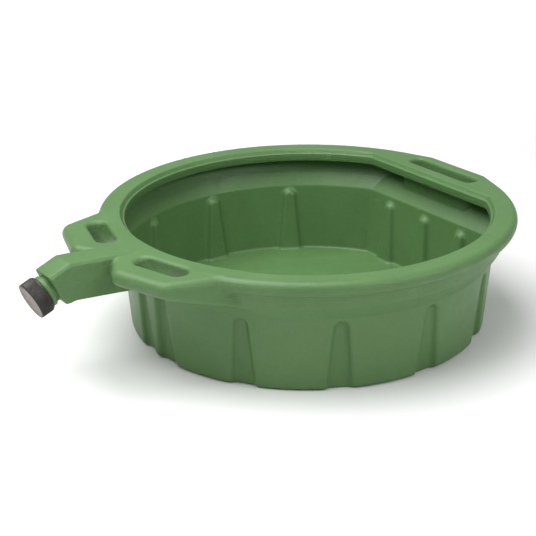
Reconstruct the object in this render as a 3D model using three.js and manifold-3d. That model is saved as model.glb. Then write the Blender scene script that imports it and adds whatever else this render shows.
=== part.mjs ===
// Oil drain pan: one hollow moulded pan with a D-shaped bowl, a rolled rim with an inward lip,
// two spout-side grips, a rear grip and a pouring spout closed by a screw cap with a seal disc.
// Millimetres, +Z up. The origin is on the axis of the round wall, on the face the pan rests on.
// The spout points to -X and the rear grip to +X.
import * as THREE from 'three';
import { ConvexGeometry } from 'three/addons/geometries/ConvexGeometry.js';
import { mergeVertices } from 'three/addons/utils/BufferGeometryUtils.js';
import Module from 'manifold-3d';

const wasm = await Module();
wasm.setup();

// ---- driving dimensions ----
const WALL = 3;                 // wall thickness of the moulding
const FIT_GAP = 0.3;            // gap between the seal disc and its neighbours
const OVERRUN = 5;              // how far a cutting body runs past the face it cuts
const OVERLAP = 2;              // how far the band runs down into the top of the bowl
const SEGMENTS = 60;            // steps in a full circle of the bowl and rim
const CORNER_SEGMENTS = 16;     // steps in a full circle of a small corner
const TURNED_SEGMENTS = 48;     // steps in a full circle of the neck, cap and seal disc
const LARGE_RADIUS = 50;        // arcs above this radius take SEGMENTS, the others CORNER_SEGMENTS

const BOWL = { radius: 203, topRadius: 209.5, flatX: 176, topFlatX: 182, topZ: 84, cornerR: 16, footR: 8 };
// band between the bowl wall and the rim: a shoulder up to midZ, then a steeper flare
const BAND = { midRadius: 219.5, midZ: 99, radius: 225.5, topZ: 115 };
const RIM = { radius: 235, topZ: 133, lowZ: 116, topR: 8, lowR: 9.5 };
const LIP = {
  stepRadius: 210, stepFlatX: 182,                  // edge where the flat rim top turns down
  ledgeRadius: 207.5, ledgeFlatX: 179.7, ledgeZ: 128,
  openRadius: 205.3, openFlatX: 177.5,              // the opening itself
  cornerR: 8, edgeZ: 118.3,                         // lowest edge of the turned-down lip
};
const FLUTE = { topZ: 80.5, flatTopZ: 78, topHalf: 8.5, footHalf: 15, depth: 6, slope: 3.5 };
const FLUTE_ANGLES = [0, 1, 2, 3, 4].map((k) => 59.5 + 28.8 * k);    // degrees, on the round wall
const FLAT_FLUTES = [-64, 0, 64];                   // y of the flutes on the flat wall

const REAR_GRIP = { edgeX: 233, halfWidth: 44, cornerR: 12 };
const REAR_SLOT = { x: 205.5, y: 0, length: 107, width: 19, turn: 90, cornerR: 7 };
// one side grip: its front runs from the spout over the inner and outer corner to the rim
const SIDE_GRIP = {
  spoutX: -252, rootX: -150, rootY: 138,
  inner: { x: -276.4, y: 42.7, r: 14 },
  outer: { x: -254.4, y: 107.8, r: 18 },
  edgeR: 7,
  lowZ: 115, dropX: -252, dropSlope: 0.28,          // the underside falls from dropX towards the rim
};
const SIDE_SLOT = { x: -229, y: 62, length: 63, width: 20.5, turn: 74, cornerR: 9 };
const SLOT_LOW_Z = 60;          // the slots are cut from here up through the rim

const SPOUT = {
  halfWidth: 17.5, bevel: 2.5,
  rootX: -196, rootLowZ: 92,                        // end inside the rim
  levelX: -215,                                     // where the level top starts to climb
  crestX: -307.5, crestZ: 139.5,
  faceAbove: 19.3, faceBelow: 8.2,                  // reach of the end face from the neck's axis
  chinX: -314.5, chinZ: 97,
  notchX: -306, notchZ: 98.6,
  heelX: -244, heelZ: 93.8,
};
const SPOUT_TILT = 23;                              // degrees that the neck points below level
const CAP_FACE = new THREE.Vector3(-346, 0, 102.3); // centre of the cap's closed end
const NECK = {
  rootR: 15.2, rootLength: 3.2,
  collarR: 17, collarLength: 4.6, collarEdge: 0.8,
  threadRootR: 16.5, boreR: 13.3,
};
const THREAD = {
  pitch: 4.2, height: 1.2, root: 0.5, footHalf: 0.95, crestHalf: 0.4, turns: 1.5, steps: 36,
};
const CAP = { radius: 20, length: 15.5, end: 2, boreR: 18.4, lipR: 19.2, lipLength: 1.6, edge: 0.6 };
const LINER = { radius: 17.7, thickness: 1 };
const NECK_START = 24.1;        // distance from the spout's end face to the cap's closed end
const THREAD_START = 4.8;       // distance from the cap's closed end to the start of the neck's thread

// ---- solids ----
function solid(geometry) {
  const plain = geometry.index ? geometry.toNonIndexed() : geometry.clone();
  plain.deleteAttribute('normal');
  plain.deleteAttribute('uv');
  const merged = mergeVertices(plain, 1e-4);
  return new wasm.Manifold(new wasm.Mesh({
    numProp: 3,
    vertProperties: new Float32Array(merged.attributes.position.array),
    triVerts: new Uint32Array(merged.index.array),
  }));
}

function join(solids) {
  return solids.reduce((sum, next) => sum.add(next));
}

function cut(body, tools) {
  return tools.reduce((rest, tool) => rest.subtract(tool), body);
}

function toMesh(name, body, colour, roughness) {
  const raw = body.getMesh();
  const geometry = new THREE.BufferGeometry();
  geometry.setAttribute('position', new THREE.BufferAttribute(new Float32Array(raw.vertProperties), 3));
  geometry.setIndex(new THREE.BufferAttribute(new Uint32Array(raw.triVerts), 1));
  geometry.computeVertexNormals();
  const material = new THREE.MeshStandardMaterial({ color: colour, roughness, metalness: 0 });
  const mesh = new THREE.Mesh(geometry, material);
  mesh.name = name;
  return mesh;
}

// ---- outlines, as lists of [x, y] ----
function arc(cx, cy, radius, from, to) {
  const segments = radius > LARGE_RADIUS ? SEGMENTS : CORNER_SEGMENTS;
  const steps = Math.max(1, Math.round(Math.abs(to - from) / (2 * Math.PI / segments)));
  return Array.from({ length: steps + 1 }, (_, i) => {
    const a = from + (to - from) * i / steps;
    return [cx + radius * Math.cos(a), cy + radius * Math.sin(a)];
  });
}

// A circle cut off by a straight side at flatX, with rounded corners.
function dOutline(radius, flatX, cornerR) {
  const cx = flatX - cornerR;
  const cy = Math.sqrt((radius - cornerR) ** 2 - cx ** 2);
  const meet = Math.atan2(cy, cx);
  return [
    ...arc(cx, cy, cornerR, 0, meet),
    ...arc(0, 0, radius, meet, 2 * Math.PI - meet),
    ...arc(cx, -cy, cornerR, -meet, 0),
  ];
}

// The rim's outline: a circle cut off by the straight rear edge, with the two blunt corners of the rear grip.
function rimOutline(inset) {
  const cornerR = Math.max(REAR_GRIP.cornerR - inset, 0);
  const centreX = REAR_GRIP.edgeX - REAR_GRIP.cornerR;
  const edgeX = REAR_GRIP.edgeX - inset;
  return [
    ...arc(0, 0, RIM.radius - inset, 0, 2 * Math.PI).map(([x, y]) => [Math.min(x, edgeX), y]),
    ...[-1, 1].flatMap((side) => arc(centreX, side * REAR_GRIP.halfWidth, cornerR, -1, 1)),
  ];
}

// A convex corner at b, between the edges to a and c, drawn as an arc of radius r that is moved in by inset.
function roundCorner(a, b, c, r, inset) {
  const unit = (from, to) => {
    const length = Math.hypot(to[0] - from[0], to[1] - from[1]);
    return [(to[0] - from[0]) / length, (to[1] - from[1]) / length];
  };
  const u = unit(b, a);
  const v = unit(b, c);
  const half = Math.acos(u[0] * v[0] + u[1] * v[1]) / 2;
  const middle = [u[0] + v[0], u[1] + v[1]];
  const reach = r / Math.sin(half) / Math.hypot(...middle);
  return arc(b[0] + middle[0] * reach, b[1] + middle[1] * reach, r - inset, 0, 2 * Math.PI);
}

function sideGripOutline(side, inset) {
  const { spoutX, rootX, rootY, inner, outer } = SIDE_GRIP;
  const start = [spoutX, 0];
  const end = [rootX, rootY];
  const innerCorner = [inner.x, inner.y];
  const outerCorner = [outer.x, outer.y];
  return [
    [spoutX + inset, 0],
    ...roundCorner(start, innerCorner, outerCorner, inner.r, inset),
    ...roundCorner(innerCorner, outerCorner, end, outer.r, inset),
    [rootX, rootY - inset],
    [rootX, 0],
  ].map(([x, y]) => [x, side * y]);
}

function slotOutline(slot, side, grow) {
  const turn = THREE.MathUtils.degToRad(slot.turn);
  const halfLength = slot.length / 2 - slot.cornerR;
  const halfWidth = slot.width / 2 - slot.cornerR;
  const corners = [[1, 1], [-1, 1], [-1, -1], [1, -1]];
  return corners.flatMap(([sx, sy], i) =>
    arc(sx * halfLength, sy * halfWidth, slot.cornerR + grow, i * Math.PI / 2, (i + 1) * Math.PI / 2)
      .map(([x, y]) => [
        slot.x + x * Math.cos(turn) - y * Math.sin(turn),
        side * (slot.y + x * Math.sin(turn) + y * Math.cos(turn)),
      ]));
}

// ---- convex bodies between outlines ----
// layers is a list of [outline, z], where z is a number or a function of x
function layered(layers) {
  const points = layers.flatMap(([outline, z]) =>
    outline.map(([x, y]) => new THREE.Vector3(x, y, typeof z === 'function' ? z(x) : z)));
  return solid(new ConvexGeometry(points));
}

// Quarter-round edge as [inset, rise] pairs, from the side face to the level face.
function edgeRound(radius, rise = radius, steps = 2) {
  return Array.from({ length: steps + 1 }, (_, i) => {
    const a = i / steps * Math.PI / 2;
    return [radius * (1 - Math.cos(a)), rise * Math.sin(a)];
  });
}

function bowlSolid(inset) {
  const at = (z) => {
    const f = (z - BOWL.footR) / (BOWL.topZ - BOWL.footR);
    return [BOWL.radius + (BOWL.topRadius - BOWL.radius) * f, BOWL.flatX + (BOWL.topFlatX - BOWL.flatX) * f];
  };
  const footR = BOWL.footR - inset;
  const [r0, x0] = at(BOWL.footR);
  const foot = edgeRound(footR).map(([side, drop]) =>
    [dOutline(r0 - inset - side, x0 - inset - side, BOWL.cornerR - inset), BOWL.footR - drop]);
  const [r1, x1] = at(BOWL.topZ);
  const top = dOutline(r1 - inset, x1 - inset, BOWL.cornerR - inset);
  return layered([...foot, [top, BOWL.topZ]]);
}

// The flat side of the band leans outwards at 45 degrees, all the way up to the rim.
function bandSolid(inset) {
  const outline = (radius, z) => {
    const flatX = BOWL.topFlatX + z - BOWL.topZ - inset * Math.SQRT2;
    return dOutline(radius - inset, flatX, BOWL.cornerR - inset);
  };
  const shoulder = Math.atan2(BAND.midRadius - BOWL.topRadius, BAND.midZ - BOWL.topZ);
  const flare = Math.atan2(BAND.radius - BAND.midRadius, BAND.topZ - BAND.midZ);
  const lowZ = BOWL.topZ + inset * Math.tan(shoulder / 2);
  const midZ = BAND.midZ + inset * Math.tan((shoulder + flare) / 2);
  const highZ = RIM.topZ - 2 * WALL;
  return layered([
    [outline(BOWL.topRadius, lowZ), lowZ - OVERLAP],
    [outline(BOWL.topRadius, lowZ), lowZ],
    [outline(BAND.midRadius, midZ), midZ],
    [outline(BAND.radius, BAND.topZ), BAND.topZ],
    [outline(BAND.radius, highZ), highZ],
  ]);
}

function rimSolid(inset) {
  const top = edgeRound(RIM.topR).map(([side, rise]) =>
    [rimOutline(side + inset), RIM.topZ - RIM.topR + rise - inset]);
  const waist = RIM.topZ - RIM.topR;
  const low = edgeRound(RIM.lowR, waist - RIM.lowZ).map(([side, drop]) =>
    [rimOutline(side + inset), Math.max(waist - drop, RIM.lowZ + inset)]);
  return layered([...top, ...low]);
}

// The side grips are solid, so the wall inside the rim runs past them unbroken.
function sideGripSolid(side) {
  const { lowZ, dropX, dropSlope, edgeR } = SIDE_GRIP;
  const round = edgeRound(edgeR);
  const top = round.map(([inset, rise]) => [sideGripOutline(side, inset), RIM.topZ - edgeR + rise]);
  const underside = round.map(([inset, drop]) => {
    const height = (x) => lowZ - Math.max(0, x - dropX) * dropSlope + edgeR - drop;
    return [sideGripOutline(side, inset), height];
  });
  return layered([...top, ...underside]);
}

function slotSolid(slot, side, grow) {
  const outline = slotOutline(slot, side, grow);
  return layered([[outline, SLOT_LOW_Z], [outline, RIM.topZ + OVERRUN]]);
}

// ---- spout: a side profile given the width of the channel ----
const tilt = THREE.MathUtils.degToRad(SPOUT_TILT);
const NECK_AXIS = new THREE.Vector3(-Math.cos(tilt), 0, -Math.sin(tilt));

function spoutSolid(inset) {
  const face = CAP_FACE.clone().addScaledVector(NECK_AXIS, -NECK_START - inset);
  const along = new THREE.Vector3(-Math.sin(tilt), 0, Math.cos(tilt));
  const faceTop = face.clone().addScaledVector(along, SPOUT.faceAbove - inset);
  const faceLow = face.clone().addScaledVector(along, inset - SPOUT.faceBelow);
  const profile = [
    [SPOUT.rootX, RIM.topZ - 2 * WALL - inset],
    [SPOUT.levelX, RIM.topZ - inset],
    [SPOUT.crestX, SPOUT.crestZ - inset],
    [faceTop.x, faceTop.z],
    [faceLow.x, faceLow.z],
    [SPOUT.chinX + inset, SPOUT.chinZ + inset],
    [SPOUT.notchX, SPOUT.notchZ + inset],
    [SPOUT.heelX, SPOUT.heelZ + inset],
    [SPOUT.rootX, SPOUT.rootLowZ + inset],
  ];
  const bevel = inset ? 0 : SPOUT.bevel;
  const shape = new THREE.Shape(profile.map(([x, z]) => new THREE.Vector2(x, z)));
  const width = 2 * (SPOUT.halfWidth - inset);
  const geometry = new THREE.ExtrudeGeometry(shape, {
    depth: width - 2 * bevel, bevelEnabled: bevel > 0, bevelThickness: bevel, bevelSize: bevel,
    bevelOffset: -bevel, bevelSegments: 2,
  });
  geometry.translate(0, 0, bevel - width / 2);
  geometry.rotateX(Math.PI / 2);
  return solid(geometry);
}

// Moves a geometry made along +Y to the neck's axis, with y = 0 at the cap's closed end.
function ontoNeck(geometry) {
  const back = NECK_AXIS.clone().negate();
  geometry.applyQuaternion(new THREE.Quaternion().setFromUnitVectors(new THREE.Vector3(0, 1, 0), back));
  geometry.translate(CAP_FACE.x, CAP_FACE.y, CAP_FACE.z);
  return solid(geometry);
}

// A turned piece on the neck's axis: profile is [radius, distance back from the cap's closed end].
function turned(profile) {
  const points = profile.map(([r, back]) => new THREE.Vector2(r, back));
  return ontoNeck(new THREE.LatheGeometry(points, TURNED_SEGMENTS));
}

// ---- flutes: tapered grooves with a round top, run out at the foot of the wall ----
function fluteSolid(topZ, grow) {
  const { topHalf, footHalf, depth, slope } = FLUTE;
  const layer = (offset, x) => {
    const top = topHalf + grow - offset;
    const foot = footHalf + grow - offset;
    const centreZ = topZ - topHalf;
    const crown = arc(0, centreZ, top, 0, Math.PI).map(([y, z]) => new THREE.Vector3(x, y, z));
    return [new THREE.Vector3(x, foot, -OVERRUN), new THREE.Vector3(x, -foot, -OVERRUN), ...crown];
  };
  return new ConvexGeometry([...layer(-slope, depth), ...layer(slope, -depth - grow)]);
}

function flutes(grow) {
  const lean = Math.atan((BOWL.topRadius - BOWL.radius) / (BOWL.topZ - BOWL.footR));
  const place = (x, y, angle, topZ) => {
    const geometry = fluteSolid(topZ, grow);
    geometry.rotateY(lean);
    geometry.translate(x, y, 0);
    geometry.rotateZ(angle);
    return solid(geometry);
  };
  const footRadius = BOWL.radius - Math.tan(lean) * BOWL.footR;
  const onRound = FLUTE_ANGLES.flatMap((a) => [a, -a])
    .map((a) => place(footRadius, 0, THREE.MathUtils.degToRad(a), FLUTE.topZ));
  const onFlat = FLAT_FLUTES.map((y) => place(BOWL.flatX, y, 0, FLUTE.flatTopZ));
  return [...onRound, ...onFlat];
}

// ---- thread: a right-handed helical ridge round the neck's axis ----
class Helix extends THREE.Curve {
  constructor(radius, start) {
    super();
    this.radius = radius;
    this.start = start;
  }

  getPoint(t, target = new THREE.Vector3()) {
    const turn = t * THREAD.turns * 2 * Math.PI;
    const along = this.start + t * THREAD.turns * THREAD.pitch;
    return target.set(this.radius * Math.cos(turn), along, -this.radius * Math.sin(turn));
  }
}

// side is 1 for a ridge that stands outwards and -1 for one that stands inwards
function threadSolid(radius, start, side) {
  const { height, footHalf, crestHalf, root, steps } = THREAD;
  const shape = new THREE.Shape([
    new THREE.Vector2(-side * height, -crestHalf),
    new THREE.Vector2(-side * height, crestHalf),
    new THREE.Vector2(side * root, footHalf),
    new THREE.Vector2(side * root, -footHalf),
  ]);
  const path = new Helix(radius, start);
  return ontoNeck(new THREE.ExtrudeGeometry(shape, { steps, extrudePath: path }));
}

// ---- the pan ----
function panBody() {
  const neckEnd = CAP.end + 2 * FIT_GAP + LINER.thickness;
  const collarEnd = NECK_START - NECK.rootLength;
  const collarStart = collarEnd - NECK.collarLength;
  const neck = turned([
    [0, neckEnd],
    [NECK.threadRootR, neckEnd],
    [NECK.threadRootR, collarStart],
    [NECK.collarR, collarStart + NECK.collarEdge],
    [NECK.collarR, collarEnd - NECK.collarEdge],
    [NECK.rootR, collarEnd],
    [NECK.rootR, NECK_START + WALL],
    [0, NECK_START + WALL],
  ]);
  const boreStart = neckEnd - OVERRUN;
  const boreEnd = NECK_START + 2 * WALL;
  const bore = turned([[0, boreStart], [NECK.boreR, boreStart], [NECK.boreR, boreEnd], [0, boreEnd]]);

  const moulding = join([
    bowlSolid(0), bandSolid(0), rimSolid(0), spoutSolid(0), sideGripSolid(1), sideGripSolid(-1),
  ]);
  const thread = threadSolid(NECK.threadRootR, THREAD_START, 1);
  const outside = cut(moulding, flutes(0)).add(neck).add(thread);

  // the lip hangs inside the hollow of the rim
  const lipOutline = (radius, flatX) => dOutline(radius, flatX, LIP.cornerR + WALL);
  const lipBlock = layered([
    [lipOutline(LIP.openRadius + WALL, LIP.openFlatX + WALL), LIP.edgeZ],
    [lipOutline(LIP.openRadius + WALL, LIP.openFlatX + WALL), LIP.ledgeZ - WALL],
    [lipOutline(LIP.stepRadius + WALL, LIP.stepFlatX + WALL), RIM.topZ - WALL],
    [lipOutline(LIP.stepRadius + WALL, LIP.stepFlatX + WALL), RIM.topZ + OVERRUN],
  ]);
  const tunnels = (grow) => [[REAR_SLOT, 1], [SIDE_SLOT, 1], [SIDE_SLOT, -1]]
    .map(([slot, side]) => slotSolid(slot, side, grow));
  const underRim = join([bandSolid(WALL), rimSolid(WALL), spoutSolid(WALL)]);
  const hollowRim = cut(underRim, [lipBlock]);
  const hollow = join([
    cut(bowlSolid(WALL), flutes(WALL)),
    cut(hollowRim, tunnels(WALL)),
  ]).add(bore);

  const opening = layered([
    [dOutline(LIP.openRadius, LIP.openFlatX, LIP.cornerR), LIP.edgeZ - OVERRUN],
    [dOutline(LIP.openRadius, LIP.openFlatX, LIP.cornerR), RIM.topZ + OVERRUN],
  ]);
  const stepDown = layered([
    [dOutline(LIP.ledgeRadius, LIP.ledgeFlatX, LIP.cornerR), LIP.ledgeZ],
    [dOutline(LIP.stepRadius, LIP.stepFlatX, LIP.cornerR), RIM.topZ],
    [dOutline(LIP.stepRadius, LIP.stepFlatX, LIP.cornerR), RIM.topZ + OVERRUN],
  ]);
  return cut(outside, [hollow, opening, stepDown, ...tunnels(0)]);
}

function spoutCap() {
  const { radius, length, end, boreR, lipR, lipLength, edge } = CAP;
  const shell = turned([
    [0, 0], [radius - edge, 0], [radius, edge], [radius, length - lipLength], [lipR, length - lipLength],
    [lipR, length], [boreR, length], [boreR, end], [0, end],
  ]);
  return shell.add(threadSolid(boreR, THREAD_START + THREAD.pitch / 2, -1));
}

function capLiner() {
  const near = CAP.end + FIT_GAP;
  const far = near + LINER.thickness;
  return turned([[0, near], [LINER.radius, near], [LINER.radius, far], [0, far]]);
}

const pan = new THREE.Group();
pan.add(toMesh('pan_body', panBody(), 0x3f7a3a, 0.5));
pan.add(toMesh('spout_cap', spoutCap(), 0x241f20, 0.55));
pan.add(toMesh('cap_liner', capLiner(), 0xd8d6cc, 0.8));

export default pan;
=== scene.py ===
"""Oil drain pan: the moulded pan, its threaded neck, screw cap and seal disc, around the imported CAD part.

The pan is one smooth signed-distance field, in millimetres, turned into a mesh. The neck, cap and seal disc
are turned profiles, and the neck and the cap have a helical thread ridge each. Everything ends up in metres,
in the CAD part's own frame.
"""

import math

import bmesh
import bpy
import numpy as np
from mathutils import Matrix, Vector


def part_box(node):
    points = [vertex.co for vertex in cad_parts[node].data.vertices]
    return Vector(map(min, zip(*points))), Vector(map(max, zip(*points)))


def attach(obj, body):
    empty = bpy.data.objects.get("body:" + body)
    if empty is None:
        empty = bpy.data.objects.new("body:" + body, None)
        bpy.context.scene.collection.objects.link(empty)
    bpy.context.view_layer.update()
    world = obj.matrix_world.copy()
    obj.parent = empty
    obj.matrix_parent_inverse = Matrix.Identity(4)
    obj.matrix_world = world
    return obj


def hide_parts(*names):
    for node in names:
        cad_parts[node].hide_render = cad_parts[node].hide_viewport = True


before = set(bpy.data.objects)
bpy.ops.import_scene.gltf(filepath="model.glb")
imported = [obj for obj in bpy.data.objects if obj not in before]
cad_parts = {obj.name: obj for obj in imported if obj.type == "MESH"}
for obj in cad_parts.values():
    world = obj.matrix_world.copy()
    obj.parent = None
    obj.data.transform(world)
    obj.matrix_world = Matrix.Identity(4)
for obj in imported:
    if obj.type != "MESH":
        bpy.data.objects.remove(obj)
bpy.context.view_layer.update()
MM = 0.001

# ---- driving dimensions of the moulding, in millimetres ----
WALL = 3.0
RIM_TOP = 133.0
OVERRUN = 5.0
BOWL = dict(radius=203.0, top_radius=209.5, flat_x=176.0, top_flat_x=182.0, low_z=8.0, top_z=84.0,
            corner=16.0, foot=6.0)
BAND = dict(mid_radius=219.5, mid_z=99.0, radius=225.5, top_z=115.0, low_z=60.0, edge=3.0, corner=10.0,
            edge_cosine=0.97, corner_cosine=0.9)
RIM = dict(radius=235.0, low_z=116.0, top_round=8.0, low_round=9.5)
LIP = dict(step_radius=210.0, step_flat_x=182.0, step_in=2.5, ledge_z=128.0, step_edge=1.2,
           open_radius=205.3, open_flat_x=177.5, corner=8.0, edge_z=118.3, edge=0.8)
FLUTE = dict(top_z=80.5, flat_top_z=78.0, top_half=8.5, foot_half=15.0, depth=6.0, slope=3.5,
             inner_round=3.0, outer_round=2.5)
RIB = dict(top_z=82.2, flat_top_z=79.7, top_half=9.5, foot_half=16.5, depth=9.0, slope=3.5,
           inner_round=3.0, outer_round=4.0)
FLUTE_SPREAD_LIMIT = 1.2
ROUND_FLUTES = dict(first=59.5, pitch=28.8, last=4)
FLAT_FLUTE_PITCH = 64.0
REAR_GRIP = dict(edge_x=233.0, half_width=44.0, corner=12.0)
REAR_SLOT = dict(x=205.5, y=0.0, length=107.0, width=19.0, turn=90.0, corner=7.0, edge=4.0)
SIDE_GRIP = dict(spout_x=-252.0, inner=(-276.4, 42.7), outer=(-254.4, 107.8), root=(-150.0, 138.0),
                 inner_round=14.0, outer_round=18.0, top_edge=9.0, low_edge=8.0, low_z=115.0, drop_x=-252.0,
                 drop_slope=0.28, outer_cosine=0.57, inner_cosine=0.66)
SIDE_SLOT = dict(x=-229.0, y=62.0, length=63.0, width=20.5, turn=74.0, corner=9.0, edge=6.0)
SPOUT = dict(half_width=17.5, root_x=-196.0, level_x=-215.0, crest=(-307.5, 139.5), heel=(-244.0, 93.8),
             heel_slope=0.0774, chin=(-320.6, 104.2), chin_lean=(-0.763, -0.646), chin_drop=2.2,
             chin_x=-307.0, chin_spread=1.6, bevel=3.2, bend=3.0, bend_cosine=0.89, end_edge=1.2,
             low_edge=1.5, side_edge=2.0, bevel_edge=0.8, bevel_cosine=0.7)
SPOUT_TILT = math.radians(23)
CAP_FACE = np.array([-346.0, 0.0, 102.3])
NECK_AXIS = np.array([-math.cos(SPOUT_TILT), 0.0, -math.sin(SPOUT_TILT)])
NECK_UP = np.array([-math.sin(SPOUT_TILT), 0.0, math.cos(SPOUT_TILT)])
NECK_START = 24.1
NECK_BORE = 13.3
FILLET = dict(band=3.0, band_cosine=0.88, rim=1.0, spout=2.5, side_grip=3.0, tunnel=1.5)
REAR_TUNNEL = dict(longer=9.0, wider=5.0)
DIAGONAL = math.sqrt(0.5)


# ---- distance field: negative inside the material ----
def round_and(a, b, radius, cosine=0.0):
    """Intersection of two fields with a rounded edge; cosine is that of the angle between their normals."""
    u, v = a + radius, b + radius
    corner = (u > cosine * v) & (v > cosine * u)
    spread = np.maximum(u * u + v * v - 2 * cosine * u * v, 0) / (1 - cosine * cosine)
    return np.where(corner, np.sqrt(spread) - radius, np.maximum(a, b))


def round_or(a, b, radius, cosine=0.0):
    """Union of two fields with a fillet where they meet."""
    return -round_and(-a, -b, radius, cosine)


def half_plane(u, v, start, end):
    """Distance from the line start-end, positive on its right side when walking from start to end."""
    du, dv = end[0] - start[0], end[1] - start[1]
    return ((u - start[0]) * dv - (v - start[1]) * du) / math.hypot(du, dv)


def d_outline(x, y, radius, flat_x, corner):
    cosine = (flat_x - corner) / (radius - corner)
    return round_and(np.hypot(x, y) - radius, x - flat_x, corner, cosine)


def bowl_wall(x, y, z):
    """Distances to the round wall and to the flat wall, both drafted."""
    low, high = BOWL["low_z"], BOWL["top_z"]
    round_wall = half_plane(np.hypot(x, y), z, (BOWL["radius"], low), (BOWL["top_radius"], high))
    flat_wall = half_plane(x, z, (BOWL["flat_x"], low), (BOWL["top_flat_x"], high))
    return round_wall, flat_wall


def bowl(x, y, z):
    round_wall, flat_wall = bowl_wall(x, y, z)
    cosine = (BOWL["flat_x"] - BOWL["corner"]) / (BOWL["radius"] - BOWL["corner"])
    side = round_and(round_wall, flat_wall, BOWL["corner"], cosine)
    return np.maximum(round_and(side, -z, BOWL["foot"]), z - RIM_TOP + 2 * WALL)


def band(x, y, z):
    r = np.hypot(x, y)
    middle = (BAND["mid_radius"], BAND["mid_z"])
    shoulder = half_plane(r, z, (BOWL["top_radius"], BOWL["top_z"]), middle)
    flat_shoulder = (x - BOWL["top_flat_x"] - z + BOWL["top_z"]) * DIAGONAL
    flare = half_plane(r, z, middle, (BAND["radius"], BAND["top_z"]))
    round_side = round_and(shoulder, flare, BAND["edge"], BAND["edge_cosine"])
    side = round_and(round_side, flat_shoulder, BAND["corner"], BAND["corner_cosine"])
    return np.maximum(np.maximum(side, BAND["low_z"] - z), z - RIM_TOP + 2 * WALL)


def rim_outline(x, y):
    """A circle with the straight rear edge and the two blunt corners of the rear grip."""
    centre_x = REAR_GRIP["edge_x"] - REAR_GRIP["corner"]
    reach = math.hypot(centre_x, REAR_GRIP["half_width"])
    lean = (math.atan2(REAR_GRIP["half_width"], centre_x)
            + math.acos((RIM["radius"] - REAR_GRIP["corner"]) / reach))
    circle = np.hypot(x, y) - RIM["radius"]
    tangent = x * math.cos(lean) + np.abs(y) * math.sin(lean) - RIM["radius"]
    beyond = (np.abs(y) * math.cos(lean) < x * math.sin(lean)) & (x > 0)
    corner = round_and(tangent, x - REAR_GRIP["edge_x"], REAR_GRIP["corner"], math.cos(lean))
    return np.where(beyond, corner, circle)


def rim(x, y, z):
    side = rim_outline(x, y)
    return np.maximum(round_and(side, z - RIM_TOP, RIM["top_round"]),
                      round_and(side, RIM["low_z"] - z, RIM["low_round"]))


def side_grip(x, y, z):
    g = SIDE_GRIP
    ay = np.abs(y)
    beside_spout = half_plane(x, ay, g["inner"], (g["spout_x"], 0.0))
    front = half_plane(x, ay, g["outer"], g["inner"])
    side = half_plane(x, ay, g["root"], g["outer"])
    outline = round_and(front, side, g["outer_round"], g["outer_cosine"])
    outline = round_and(outline, beside_spout, g["inner_round"], g["inner_cosine"])
    outline = np.maximum(outline, x - g["root"][0])
    under = g["low_z"] - np.maximum(x - g["drop_x"], 0) * g["drop_slope"]
    below = (under - z) / math.hypot(1, g["drop_slope"])
    return np.maximum(round_and(outline, z - RIM_TOP, g["top_edge"]),
                      round_and(outline, below, g["low_edge"]))


def slot_outline(x, y, slot, longer=0.0, wider=0.0):
    turn = math.radians(slot["turn"])
    dx = x - slot["x"]
    dy = np.abs(y) - slot["y"] if slot["y"] else y
    along = np.abs(dx * math.cos(turn) + dy * math.sin(turn)) - slot["length"] / 2 - longer
    across = np.abs(-dx * math.sin(turn) + dy * math.cos(turn)) - slot["width"] / 2 - wider
    return round_and(along, across, slot["corner"] + wider)


def spout(x, y, z):
    face = CAP_FACE - NECK_START * NECK_AXIS
    crest_x, crest_z = SPOUT["crest"]
    top = half_plane(x, z, (SPOUT["level_x"], RIM_TOP), SPOUT["crest"])
    nose = (x - crest_x) * NECK_UP[0] + (z - crest_z) * NECK_UP[2]
    end = (x - face[0]) * NECK_AXIS[0] + (z - face[2]) * NECK_AXIS[2]
    chin_x, chin_z = SPOUT["chin"]
    lean_x, lean_z = SPOUT["chin_lean"]
    chin = SPOUT["chin_drop"] / (1 + np.exp((x - SPOUT["chin_x"]) / SPOUT["chin_spread"]))
    heel_x, heel_z = SPOUT["heel"]
    under = heel_z + (heel_x - x) * SPOUT["heel_slope"] - chin - z
    cut = (x - chin_x) * lean_x + (z - chin_z) * lean_z
    crown = round_and(top, nose, SPOUT["bend"], SPOUT["bend_cosine"])
    profile = round_and(round_and(crown, end, SPOUT["end_edge"]), np.maximum(under, cut), SPOUT["low_edge"])
    side = np.abs(y) - SPOUT["half_width"]
    bevel = (crown + side + SPOUT["bevel"]) * DIAGONAL
    solid = round_and(profile, side, SPOUT["side_edge"])
    solid = round_and(solid, bevel, SPOUT["bevel_edge"], SPOUT["bevel_cosine"])
    return np.maximum(solid, x - SPOUT["root_x"])


def neck_coordinates(x, y, z):
    """Distance back from the cap's closed end, and distance from the neck's axis."""
    dx, dz = x - CAP_FACE[0], z - CAP_FACE[2]
    back = -(dx * NECK_AXIS[0] + dz * NECK_AXIS[2])
    side = dx * NECK_UP[0] + dz * NECK_UP[2]
    return back, np.hypot(side, y)


def groove(across, out, z, top_z, shape):
    """A tapered groove with a round top in a wall; out is the distance outside the wall."""
    crown = top_z - shape["top_half"]
    widening = np.clip((crown - z) / crown, 0, FLUTE_SPREAD_LIMIT)
    half = shape["top_half"] + (shape["foot_half"] - shape["top_half"]) * widening
    outline = np.where(z > crown, np.hypot(across, z - crown), np.abs(across)) - half
    lean = shape["slope"] / shape["depth"]
    side = (outline - lean * np.minimum(out, shape["depth"] / 2)) / math.hypot(1, lean)
    return round_and(side, -shape["depth"] - out, shape["inner_round"])


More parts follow.
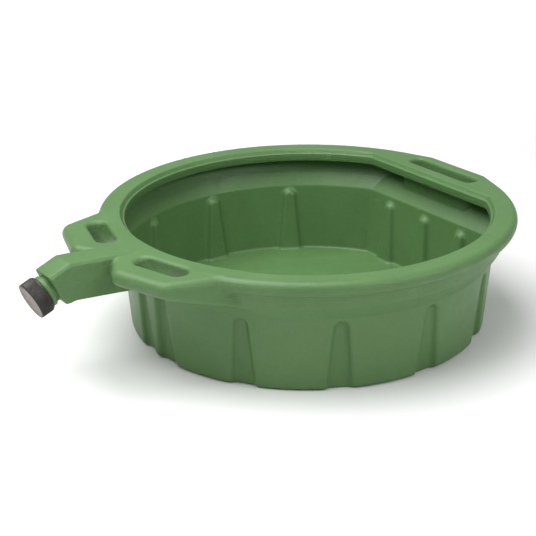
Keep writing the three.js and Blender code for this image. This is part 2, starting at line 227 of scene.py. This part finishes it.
def flutes(x, y, z, shape):
    round_wall, flat_wall = bowl_wall(x, y, z)
    angle = np.degrees(np.abs(np.arctan2(y, x)))
    number = np.round((angle - ROUND_FLUTES["first"]) / ROUND_FLUTES["pitch"])
    number = np.clip(number, 0, ROUND_FLUTES["last"])
    centre = ROUND_FLUTES["first"] + ROUND_FLUTES["pitch"] * number
    across_round = np.radians(angle - centre) * BOWL["radius"]
    across_flat = y - FLAT_FLUTE_PITCH * np.clip(np.round(y / FLAT_FLUTE_PITCH), -1, 1)
    return np.minimum(groove(across_round, round_wall, z, shape["top_z"], shape),
                      groove(across_flat, flat_wall, z, shape["flat_top_z"], shape))


def hollow_form(x, y, z):
    """The outer form of all that is hollow, without flutes, slots and step. The side grips are solid."""
    wall = round_or(bowl(x, y, z), band(x, y, z), FILLET["band"], FILLET["band_cosine"])
    body = round_or(wall, rim(x, y, z), FILLET["rim"])
    return round_or(body, spout(x, y, z), FILLET["spout"])


def step_down(x, y, z, extra):
    """The sunk ledge round the opening."""
    ledge = LIP["ledge_z"] - extra
    drop = RIM_TOP - ledge
    outline = d_outline(x, y, LIP["step_radius"] + extra, LIP["step_flat_x"] + extra, LIP["corner"] + extra)
    riser = (outline * drop - (z - RIM_TOP) * LIP["step_in"]) / math.hypot(drop, LIP["step_in"])
    return np.maximum(riser, ledge - z)


def pan_distance(p):
    """The field of the whole moulding at an array of points."""
    x, y, z = p[:, 0], p[:, 1], p[:, 2]
    form = hollow_form(x, y, z)
    rear_slot = slot_outline(x, y, REAR_SLOT)
    side_slot = slot_outline(x, y, SIDE_SLOT)
    plain = round_or(form, side_grip(x, y, z), FILLET["side_grip"])
    outer = round_and(plain, -flutes(x, y, z, FLUTE), FLUTE["outer_round"])
    outer = round_and(outer, -rear_slot, REAR_SLOT["edge"])
    outer = round_and(outer, -side_slot, SIDE_SLOT["edge"])
    outer = round_and(outer, -step_down(x, y, z, 0), LIP["step_edge"])

    lip_outline = d_outline(x, y, LIP["open_radius"] + WALL, LIP["open_flat_x"] + WALL, LIP["corner"] + WALL)
    lip = np.maximum(lip_outline, LIP["edge_z"] - z)
    tunnels = np.minimum(slot_outline(x, y, REAR_SLOT, REAR_TUNNEL["longer"], REAR_TUNNEL["wider"]),
                         slot_outline(x, y, SIDE_SLOT, WALL, WALL))
    hollow = round_and(form + WALL, -flutes(x, y, z, RIB), RIB["outer_round"])
    hollow = np.maximum(hollow, -step_down(x, y, z, WALL))
    hollow = round_and(np.maximum(hollow, -lip), -tunnels, FILLET["tunnel"])
    back, radial = neck_coordinates(x, y, z)
    bore = np.maximum(radial - NECK_BORE, back - NECK_START - 2 * WALL)
    hollow = np.minimum(hollow, bore)
    opening = np.maximum(d_outline(x, y, LIP["open_radius"], LIP["open_flat_x"], LIP["corner"]),
                         LIP["edge_z"] - OVERRUN - z)
    return round_and(round_and(outer, -hollow, LIP["edge"]), -opening, LIP["edge"])


# ---- meshing the field; lengths in millimetres ----
GRID_STEP, QUICK_GRID_STEP = 1.5, 2.0
GRID_MARGIN_STEPS = 4
BLOCK_STEPS = 4
BLOCK_HALF_DIAGONAL = 0.87
BAND_REACH = 2.0
POINTS_AT_ONCE = 400000
TRIANGLES = 190000
SETTLE_ROUNDS = 2
SETTLE_STEP_LIMIT = 1.0
SLOPE_REACH, NORMAL_REACH = 0.2, 0.8
LEAST_SLOPE_SQUARED = 0.25


def sample_band(distance, low, high, step, block):
    """Samples the field on a grid near the surface; blocks far from it get the value at their centre."""
    count = np.ceil((high - low) / (step * block)).astype(int)
    blocks = np.stack(np.meshgrid(*[np.arange(n) for n in count], indexing="ij"), -1).reshape(-1, 3)
    reach = step * block * BLOCK_HALF_DIAGONAL + BAND_REACH
    coarse = distance(low + (blocks + 0.5) * (step * block))
    near = blocks[np.abs(coarse) < reach]
    cell = np.stack(np.meshgrid(*[np.arange(block)] * 3, indexing="ij"), -1).reshape(-1, 3)
    field = coarse.reshape(count).astype(np.float32)
    for axis in range(3):
        field = np.repeat(field, block, axis)
    for part in np.array_split(near, max(1, len(near) * len(cell) // POINTS_AT_ONCE)):
        index = (part[:, None, :] * block + cell[None]).reshape(-1, 3)
        field[index[:, 0], index[:, 1], index[:, 2]] = distance(low + index * step)
    return field


def surface_net(field, low, step):
    """Vertices and quads of the field's zero surface, one vertex in each cell that it crosses."""
    inside = field < 0
    size = np.array(field.shape) - 1
    corners = np.array([(i, j, k) for i in (0, 1) for j in (0, 1) for k in (0, 1)])
    total = sum(inside[i:i + size[0], j:j + size[1], k:k + size[2]].astype(np.uint8) for i, j, k in corners)
    cells = np.argwhere((total > 0) & (total < len(corners)))
    number = np.full(size, -1)
    number[cells[:, 0], cells[:, 1], cells[:, 2]] = np.arange(len(cells))
    values = {tuple(c): field[tuple((cells + c).T)].astype(float) for c in corners}
    place, hits = np.zeros((len(cells), 3)), np.zeros(len(cells))
    for a in corners:
        for axis in range(3):
            if a[axis]:
                continue
            b = a.copy()
            b[axis] = 1
            fa, fb = values[tuple(a)], values[tuple(b)]
            crossed = (fa < 0) != (fb < 0)
            t = np.where(crossed, fa / np.where(crossed, fa - fb, 1), 0)
            place += np.where(crossed[:, None], a + (b - a) * t[:, None], 0)
            hits += crossed
    vertices = low + (cells + place / hits[:, None]) * step
    quads = []
    for axis in range(3):
        u, v = (axis + 1) % 3, (axis + 2) % 3
        ahead = np.roll(inside, -1, axis)
        edge = inside != ahead
        edge[tuple(slice(-1, None) if i == axis else slice(None) for i in range(3))] = False
        edges = np.argwhere(edge)
        edges = edges[(edges[:, u] > 0) & (edges[:, v] > 0)]
        du, dv = np.eye(3, dtype=int)[u], np.eye(3, dtype=int)[v]
        ring = [edges - du - dv, edges - dv, edges, edges - du]
        quad = np.stack([number[r[:, 0], r[:, 1], r[:, 2]] for r in ring], 1)
        outward = inside[edges[:, 0], edges[:, 1], edges[:, 2]]
        quad[~outward] = quad[~outward][:, ::-1]
        quads.append(quad)
    return vertices, np.concatenate(quads)


def gradient(distance, points, reach):
    """Central differences of the field over twice the reach."""
    slopes = []
    for axis in range(3):
        shift = np.zeros(3)
        shift[axis] = reach
        slopes.append((distance(points + shift) - distance(points - shift)) / (2 * reach))
    return np.stack(slopes, 1)


def settle(distance, points):
    """Moves points onto the zero surface along the field's gradient."""
    for _ in range(SETTLE_ROUNDS):
        slope = gradient(distance, points, SLOPE_REACH)
        size = np.maximum((slope ** 2).sum(1), LEAST_SLOPE_SQUARED)
        move = slope * (distance(points) / size)[:, None]
        points = points - np.clip(move, -SETTLE_STEP_LIMIT, SETTLE_STEP_LIMIT)
    return points


def new_mesh(name, vertices, faces):
    mesh = bpy.data.meshes.new(name)
    mesh.from_pydata([tuple(v) for v in vertices], [], [tuple(f) for f in faces])
    mesh.validate()
    piece = bpy.data.objects.new(name, mesh)
    bpy.context.scene.collection.objects.link(piece)
    return piece


def make_pan():
    """The whole moulding as one mesh, thinned out and then put back on the field."""
    step = GRID_STEP
    margin = GRID_MARGIN_STEPS * step
    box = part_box("pan_body")
    low = np.array(box[0]) / MM - margin
    high = np.array(box[1]) / MM + margin
    field = sample_band(pan_distance, low, high, step, BLOCK_STEPS)
    vertices, quads = surface_net(field, low, step)
    vertices = settle(pan_distance, vertices)
    piece = new_mesh("pan_moulding", vertices * MM, quads)
    reduce = piece.modifiers.new("reduce", "DECIMATE")
    reduce.ratio = min(1.0, TRIANGLES / (2 * len(quads)))
    bpy.context.view_layer.objects.active = piece
    bpy.ops.object.modifier_apply(modifier=reduce.name)
    mesh = piece.data
    flat = np.empty(len(mesh.vertices) * 3)
    mesh.vertices.foreach_get("co", flat)
    points = settle(pan_distance, flat.reshape(-1, 3) / MM)
    mesh.vertices.foreach_set("co", (points * MM).ravel())
    normals = gradient(pan_distance, points, NORMAL_REACH)
    normals /= np.linalg.norm(normals, axis=1)[:, None]
    mesh.polygons.foreach_set("use_smooth", [True] * len(mesh.polygons))
    mesh.normals_split_custom_set_from_vertices(normals.tolist())
    mesh.update()
    return piece


# ---- turned pieces round the neck's axis; profiles are (radius, distance back from the cap's face) ----
NECK_PROFILE = [(13.3, 27.0), (13.3, 4.4), (13.8, 3.9), (15.9, 3.9), (16.5, 4.5), (16.5, 15.9),
                (16.7, 16.2), (17.1, 16.5), (17.3, 17.1), (17.35, 18.6), (17.3, 20.2), (17.0, 20.9),
                (16.4, 21.3), (15.4, 21.5), (15.2, 21.8), (15.2, 27.0)]
CAP_RIBS, RIB_HEIGHT = 96, 0.4
CAP_PROFILE = [(0.0, 0.35), (17.6, 0.35), (18.1, 0.05), (18.4, 0.0), (19.0, 0.0), (19.5, 0.15), (19.8, 0.45)]
CAP_SIDE = [(20.0, 0.8), (20.0, 1.2), (20.0, 12.9), (20.0, 13.3)]
CAP_MOUTH = [(20.0, 13.7), (19.8, 13.9), (19.2, 14.0), (19.2, 15.2), (18.9, 15.5), (18.6, 15.5), (18.4, 15.2),
             (18.4, 2.4), (18.0, 2.0), (0.0, 2.0)]
LINER_PROFILE = [(0.0, 2.35), (17.2, 2.35), (17.6, 2.55), (17.6, 3.05), (17.2, 3.3), (15.6, 3.3), (15.2, 3.1),
                 (14.0, 3.1), (13.6, 3.3), (0.0, 3.3)]
THREAD = dict(pitch=4.2, turns=1.5, start=4.8, height=1.15, root=0.3, foot=0.95, crest=0.4, steps=120,
              taper=14, least=0.05)
NECK_THREAD_RADIUS, CAP_THREAD_RADIUS = 16.5, 18.4
ROUND_SEGMENTS = 96
SEGMENTS_PER_CAP_RIB = 6
WELD = 1e-6
NECK_SHARP, CAP_SHARP = 40, 35
END_FACE = dict(radius=18.2, depth=0.5)


def on_neck(radius, angle, back):
    """A point given by its distance from the neck's axis, its turn and its distance from the cap's face."""
    side = np.stack([np.cos(angle) * radius, np.sin(angle) * radius], -1)
    return (CAP_FACE - np.multiply.outer(back, NECK_AXIS) + side[..., :1] * NECK_UP
            + side[..., 1:] * np.array([0.0, 1.0, 0.0]))


def turned_shell(profile, segments, closed, ripple=None):
    """Vertices and faces of a turned shell; closed profiles join end to start, open ones end on the axis.

    With a ripple, a third number in each profile point says how much of it is cut from the radius there.
    """
    profile = np.array(profile)
    angle = np.arange(segments) * 2 * math.pi / segments
    radius = np.repeat(profile[:, :1], segments, 1)
    if ripple is not None:
        radius = radius - ripple(angle)[None] * profile[:, 2:3]
    back = np.repeat(profile[:, 1:2], segments, 1)
    points = on_neck(radius, np.broadcast_to(angle, radius.shape), back).reshape(-1, 3)
    rows = len(profile)
    last = rows if closed else rows - 1
    faces = []
    for i in range(last):
        here, following = i * segments, (i + 1) % rows * segments
        for j in range(segments):
            k = (j + 1) % segments
            faces.append((here + j, following + j, following + k, here + k))
    return points, faces


def thread_ridge(radius, start, side):
    """A helical ridge; side is 1 outwards and -1 inwards. Its ends taper into the wall."""
    steps = THREAD["steps"]
    t = np.linspace(0, 1, steps + 1)
    grow = np.clip(np.minimum(t, 1 - t) * THREAD["taper"], THREAD["least"], 1)
    turn = t * THREAD["turns"] * 2 * math.pi
    along = start + t * THREAD["turns"] * THREAD["pitch"]
    ring = [(-THREAD["root"], -THREAD["foot"]), (THREAD["height"], -THREAD["crest"]),
            (THREAD["height"], THREAD["crest"]), (-THREAD["root"], THREAD["foot"])]
    points = []
    for out, across in ring:
        reach = np.where(out > 0, out * grow, out)
        points.append(on_neck(radius + side * reach, turn, along + across))
    points = np.stack(points, 1).reshape(-1, 3)
    faces = [(4 * i + k, 4 * i + (k + 1) % 4, 4 * i + 4 + (k + 1) % 4, 4 * i + 4 + k)
             for i in range(steps) for k in range(4)]
    faces += [(3, 2, 1, 0), tuple(4 * steps + k for k in range(4))]
    return points, faces


def join_shells(name, shells, sharp_angle):
    points, faces, offset = [], [], 0
    for shell_points, shell_faces in shells:
        points.append(shell_points)
        faces += [tuple(i + offset for i in face) for face in shell_faces]
        offset += len(shell_points)
    piece = new_mesh(name, np.concatenate(points) * MM, faces)
    work = bmesh.new()
    work.from_mesh(piece.data)
    bmesh.ops.remove_doubles(work, verts=work.verts, dist=WELD)
    bmesh.ops.recalc_face_normals(work, faces=work.faces)
    work.to_mesh(piece.data)
    work.free()
    piece.data.polygons.foreach_set("use_smooth", [True] * len(piece.data.polygons))
    piece.data.set_sharp_from_angle(angle=math.radians(sharp_angle))
    return piece


def make_neck():
    shells = [turned_shell(NECK_PROFILE, ROUND_SEGMENTS, True),
              thread_ridge(NECK_THREAD_RADIUS, THREAD["start"], 1)]
    return join_shells("spout_neck", shells, NECK_SHARP)


def cap_ripple(angle):
    """Depth of the fine ribs' valleys round the cap."""
    return RIB_HEIGHT * (0.5 - 0.5 * np.cos(angle * CAP_RIBS))


def make_cap():
    profile = ([(r, back, 0.0) for r, back in CAP_PROFILE]
               + [(r, back, share) for (r, back), share in zip(CAP_SIDE, (0.0, 1.0, 1.0, 0.0))]
               + [(r, back, 0.0) for r, back in CAP_MOUTH])
    shells = [turned_shell(profile, CAP_RIBS * SEGMENTS_PER_CAP_RIB, False, cap_ripple),
              thread_ridge(CAP_THREAD_RADIUS, THREAD["start"] + THREAD["pitch"] / 2, -1)]
    return join_shells("cap_moulding", shells, CAP_SHARP)


def make_liner():
    return join_shells("seal_disc", [turned_shell(LINER_PROFILE, ROUND_SEGMENTS, False)], NECK_SHARP)


# ---- materials; noise scales count features per metre, bump distances are in metres ----
PAN_COLOURS = dict(deep=(0.088, 0.184, 0.063, 1), pale=(0.104, 0.208, 0.074, 1),
                   mottle=(0.070, 0.155, 0.050, 1), scuff=(0.24, 0.38, 0.18, 1))
# The two end-face colours are painted glare: the flat end of the black cap is painted pale where light
# glances off it.
CAP_COLOURS = dict(side=(0.013, 0.010, 0.007, 1), worn_side=(0.028, 0.021, 0.015, 1),
                   face=(0.142, 0.118, 0.088, 1), paler_face_glare=(0.198, 0.168, 0.130, 1))
LINER_COLOURS = dict(pore=(0.62, 0.60, 0.53, 1), foam=(0.78, 0.77, 0.70, 1))
FLOOR_COLOURS = dict(deep=(0.84, 0.84, 0.84, 1), pale=(0.88, 0.88, 0.88, 1))
FLOOR_ROUGHNESS = 0.9
PAN_SPECULAR = 0.35
MOTTLE_SHARE, SCUFF_SHARE, SCUFF_ROUGHNESS = 0.3, 0.16, 0.12
GRAIN_LOW_Z, GRAIN_HIGH_Z, GRAIN_BELOW = 0.090, 0.104, 0.12


class Shader:
    """A small builder for one Principled material."""

    def __init__(self, name):
        self.material = bpy.data.materials.new(name)
        self.material.use_nodes = True
        self.tree = self.material.node_tree
        self.surface = self.tree.nodes["Principled BSDF"]
        self.place = self.tree.nodes.new("ShaderNodeTexCoord").outputs["Object"]

    def link(self, value, socket):
        if isinstance(value, bpy.types.NodeSocket):
            self.tree.links.new(value, socket)
        else:
            socket.default_value = value

    def node(self, kind, inputs, **settings):
        node = self.tree.nodes.new(kind)
        for key, value in settings.items():
            setattr(node, key, value)
        for key, value in inputs.items():
            self.link(value, node.inputs[key])
        return node

    def noise(self, scale, detail=3.0, stretch=(1, 1, 1), roughness=0.5):
        place = self.node("ShaderNodeMapping", {"Vector": self.place, "Scale": stretch}).outputs["Vector"]
        return self.node("ShaderNodeTexNoise", {"Vector": place, "Scale": scale, "Detail": detail,
                                                "Roughness": roughness}).outputs["Fac"]

    def ramp(self, value, low, high, to_low=0.0, to_high=1.0):
        return self.node("ShaderNodeMapRange", {"Value": value, "From Min": low, "From Max": high,
                                                "To Min": to_low, "To Max": to_high}).outputs["Result"]

    def mix(self, factor, first, second):
        node = self.node("ShaderNodeMix", {}, data_type="RGBA")
        self.link(factor, node.inputs[0])
        self.link(first, node.inputs[6])
        self.link(second, node.inputs[7])
        return node.outputs[2]

    def math(self, operation, first, second):
        node = self.node("ShaderNodeMath", {}, operation=operation)
        self.link(first, node.inputs[0])
        self.link(second, node.inputs[1])
        return node.outputs[0]

    def upright(self):
        """1 on vertical walls, 0 on level faces."""
        normal = self.tree.nodes.new("ShaderNodeNewGeometry").outputs["Normal"]
        level = self.node("ShaderNodeSeparateXYZ", {"Vector": normal}).outputs["Z"]
        slant = self.node("ShaderNodeMath", {0: level}, operation="ABSOLUTE").outputs[0]
        return self.ramp(slant, 0.25, 0.75, 1.0, 0.0)

    def finish(self, colour, roughness, bumps):
        self.link(colour, self.surface.inputs["Base Color"])
        self.link(roughness, self.surface.inputs["Roughness"])
        normal = None
        for height, strength, distance in bumps:
            inputs = {"Height": height, "Strength": strength, "Distance": distance}
            if normal is not None:
                inputs["Normal"] = normal
            normal = self.node("ShaderNodeBump", inputs).outputs["Normal"]
        self.link(normal, self.surface.inputs["Normal"])
        return self.material


def pan_material():
    shader = Shader("pan_plastic")
    cloud = shader.noise(14, 4)
    mottle = shader.noise(160, 3)
    streaks = shader.noise(60, 4, (1, 1, 14))
    scuffs = shader.ramp(shader.noise(900, 2, (1, 0.12, 0.5)), 0.66, 0.74)
    colour = shader.mix(shader.ramp(cloud, 0.3, 0.7), PAN_COLOURS["deep"], PAN_COLOURS["pale"])
    patches = shader.ramp(mottle, 0.35, 0.75, 0.0, MOTTLE_SHARE)
    colour = shader.mix(patches, colour, PAN_COLOURS["mottle"])
    colour = shader.mix(shader.math("MULTIPLY", scuffs, SCUFF_SHARE), colour, PAN_COLOURS["scuff"])
    roughness = shader.ramp(shader.noise(45, 4), 0.3, 0.7, 0.36, 0.48)
    roughness = shader.math("ADD", roughness, shader.math("MULTIPLY", scuffs, SCUFF_ROUGHNESS))
    shader.surface.inputs["Specular IOR Level"].default_value = PAN_SPECULAR
    height = shader.node("ShaderNodeSeparateXYZ", {"Vector": shader.place}).outputs["Z"]
    rough_zone = shader.ramp(height, GRAIN_LOW_Z, GRAIN_HIGH_Z, GRAIN_BELOW, 1.0)
    grain = shader.math("MULTIPLY", shader.math("MULTIPLY", streaks, shader.upright()), rough_zone)
    peel = shader.noise(420, 3)
    return shader.finish(colour, roughness, [(grain, 0.6, 0.0016), (peel, 0.2, 0.0004)])


def cap_material():
    shader = Shader("cap_plastic")
    worn = shader.ramp(shader.noise(300, 4), 0.45, 0.75)
    side = shader.mix(worn, CAP_COLOURS["side"], CAP_COLOURS["worn_side"])
    # Painted glare: the sunk end face gets a pale, noise-mottled colour for light glancing off it. The cap's
    # sides keep their black colour.
    face = shader.mix(shader.noise(120, 4), CAP_COLOURS["face"], CAP_COLOURS["paler_face_glare"])
    painted_glare_zone = shader.node("ShaderNodeAttribute", {}, attribute_name="end_face").outputs["Fac"]
    colour = shader.mix(painted_glare_zone, side, face)
    roughness = shader.ramp(shader.noise(200, 3), 0.3, 0.7, 0.42, 0.58)
    return shader.finish(colour, roughness, [(shader.noise(1500, 2), 0.25, 0.0002)])


def liner_material():
    shader = Shader("liner_foam")
    pores = shader.noise(2200, 2)
    colour = shader.mix(shader.ramp(pores, 0.35, 0.7), LINER_COLOURS["pore"], LINER_COLOURS["foam"])
    roughness = shader.ramp(shader.noise(500, 2), 0.3, 0.7, 0.7, 0.88)
    return shader.finish(colour, roughness, [(pores, 0.5, 0.0002)])


def mark_end_face(piece):
    """Stores 1 on the vertices of the cap's sunk end face, 0 elsewhere; the cap's material paints glare
    there.
    """
    mesh = piece.data
    flat = np.empty(len(mesh.vertices) * 3)
    mesh.vertices.foreach_get("co", flat)
    x, y, z = flat.reshape(-1, 3).T / MM
    back, radial = neck_coordinates(x, y, z)
    values = ((back < END_FACE["depth"]) & (radial < END_FACE["radius"])).astype(np.float32)
    mesh.attributes.new("end_face", "FLOAT", "POINT").data.foreach_set("value", values)


def place(piece, material, body, slot, node=None):
    piece.data.materials.append(material)
    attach(piece, body)
    if node:
        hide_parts(node)


pan_plastic = pan_material()
cap = make_cap()
mark_end_face(cap)
place(make_pan(), pan_plastic, "pan", "pan_plastic", "pan_body")
place(make_neck(), pan_plastic, "pan", "pan_plastic")
place(cap, cap_material(), "cap", "cap_plastic", "spout_cap")
place(make_liner(), liner_material(), "cap_carrier", "liner_foam", "cap_liner")


# ---- camera, light and floor; metres, degrees and watts ----
CAMERA = dict(azimuth=-36.8, elevation=21.15, yaw=1.607, pitch=-0.992, target_z=0.0845, distance=1.583,
              sensor=36, lens=93.1)
WORLD_STRENGTH = 0.32
LIGHT_AIM = (0, 0, 0.06)
LIGHTS = [dict(name="overhead", location=(-0.5, 0.2, 1.5), size=(1.6, 1.6), power=40, aim=LIGHT_AIM),
          dict(name="right_front", location=(0.45, -1.5, 1.1), size=(1.1, 0.5), power=9, aim=LIGHT_AIM),
          dict(name="background", location=(0.9, 1.3, 1.2), size=(3.0, 1.5), power=40, aim=(1.7, 2.5, 0.0))]
FLOOR_HALF = 3
FLOOR_DROP = 0.0004


def make_camera():
    """Looks from the photograph's side; yaw and pitch turn it a little off the target."""
    azimuth, elevation = math.radians(CAMERA["azimuth"]), math.radians(CAMERA["elevation"])
    yaw, pitch = math.radians(CAMERA["yaw"]), math.radians(CAMERA["pitch"])
    target = Vector((0, 0, CAMERA["target_z"]))
    back = Vector((math.sin(azimuth) * math.cos(elevation), -math.cos(azimuth) * math.cos(elevation),
                   math.sin(elevation)))
    right = (-back).cross(Vector((0, 0, 1))).normalized()
    up = right.cross(-back)
    ahead = (right * (-math.sin(yaw) * math.cos(pitch)) + up * math.sin(pitch)
             - back * math.cos(yaw) * math.cos(pitch))
    right = ahead.cross(up).normalized()
    up = right.cross(ahead)
    data = bpy.data.cameras.new("camera")
    data.sensor_width = CAMERA["sensor"]
    data.lens = CAMERA["lens"]
    camera = bpy.data.objects.new("camera", data)
    turn = Matrix((right, up, -ahead)).transposed().to_4x4()
    camera.matrix_world = Matrix.Translation(target + back * CAMERA["distance"]) @ turn
    bpy.context.scene.collection.objects.link(camera)
    bpy.context.scene.camera = camera


def make_area(name, location, size, power, aim):
    data = bpy.data.lights.new(name, "AREA")
    data.shape = "RECTANGLE"
    data.size, data.size_y = size
    data.energy = power
    light = bpy.data.objects.new(name, data)
    light.location = location
    light.rotation_mode = "QUATERNION"
    light.rotation_quaternion = (Vector(aim) - Vector(location)).to_track_quat("-Z", "Y")
    bpy.context.scene.collection.objects.link(light)


def make_world():
    world = bpy.data.worlds.new("studio")
    world.use_nodes = True
    background = world.node_tree.nodes["Background"]
    background.inputs["Color"].default_value = (1, 1, 1, 1)
    background.inputs["Strength"].default_value = WORLD_STRENGTH
    bpy.context.scene.world = world


def make_floor():
    h = FLOOR_HALF
    floor = new_mesh("floor", [(-h, -h, 0), (h, -h, 0), (h, h, 0), (-h, h, 0)], [(0, 1, 2, 3)])
    floor.location.z = -FLOOR_DROP
    shader = Shader("floor_paper")
    fibres = shader.noise(900, 3)
    colour = shader.mix(fibres, FLOOR_COLOURS["deep"], FLOOR_COLOURS["pale"])
    floor.data.materials.append(shader.finish(colour, FLOOR_ROUGHNESS, [(fibres, 0.05, 0.0001)]))


make_camera()
make_world()
for light in LIGHTS:
    make_area(**light)
make_floor()
bpy.context.scene.view_settings.view_transform = "Standard"
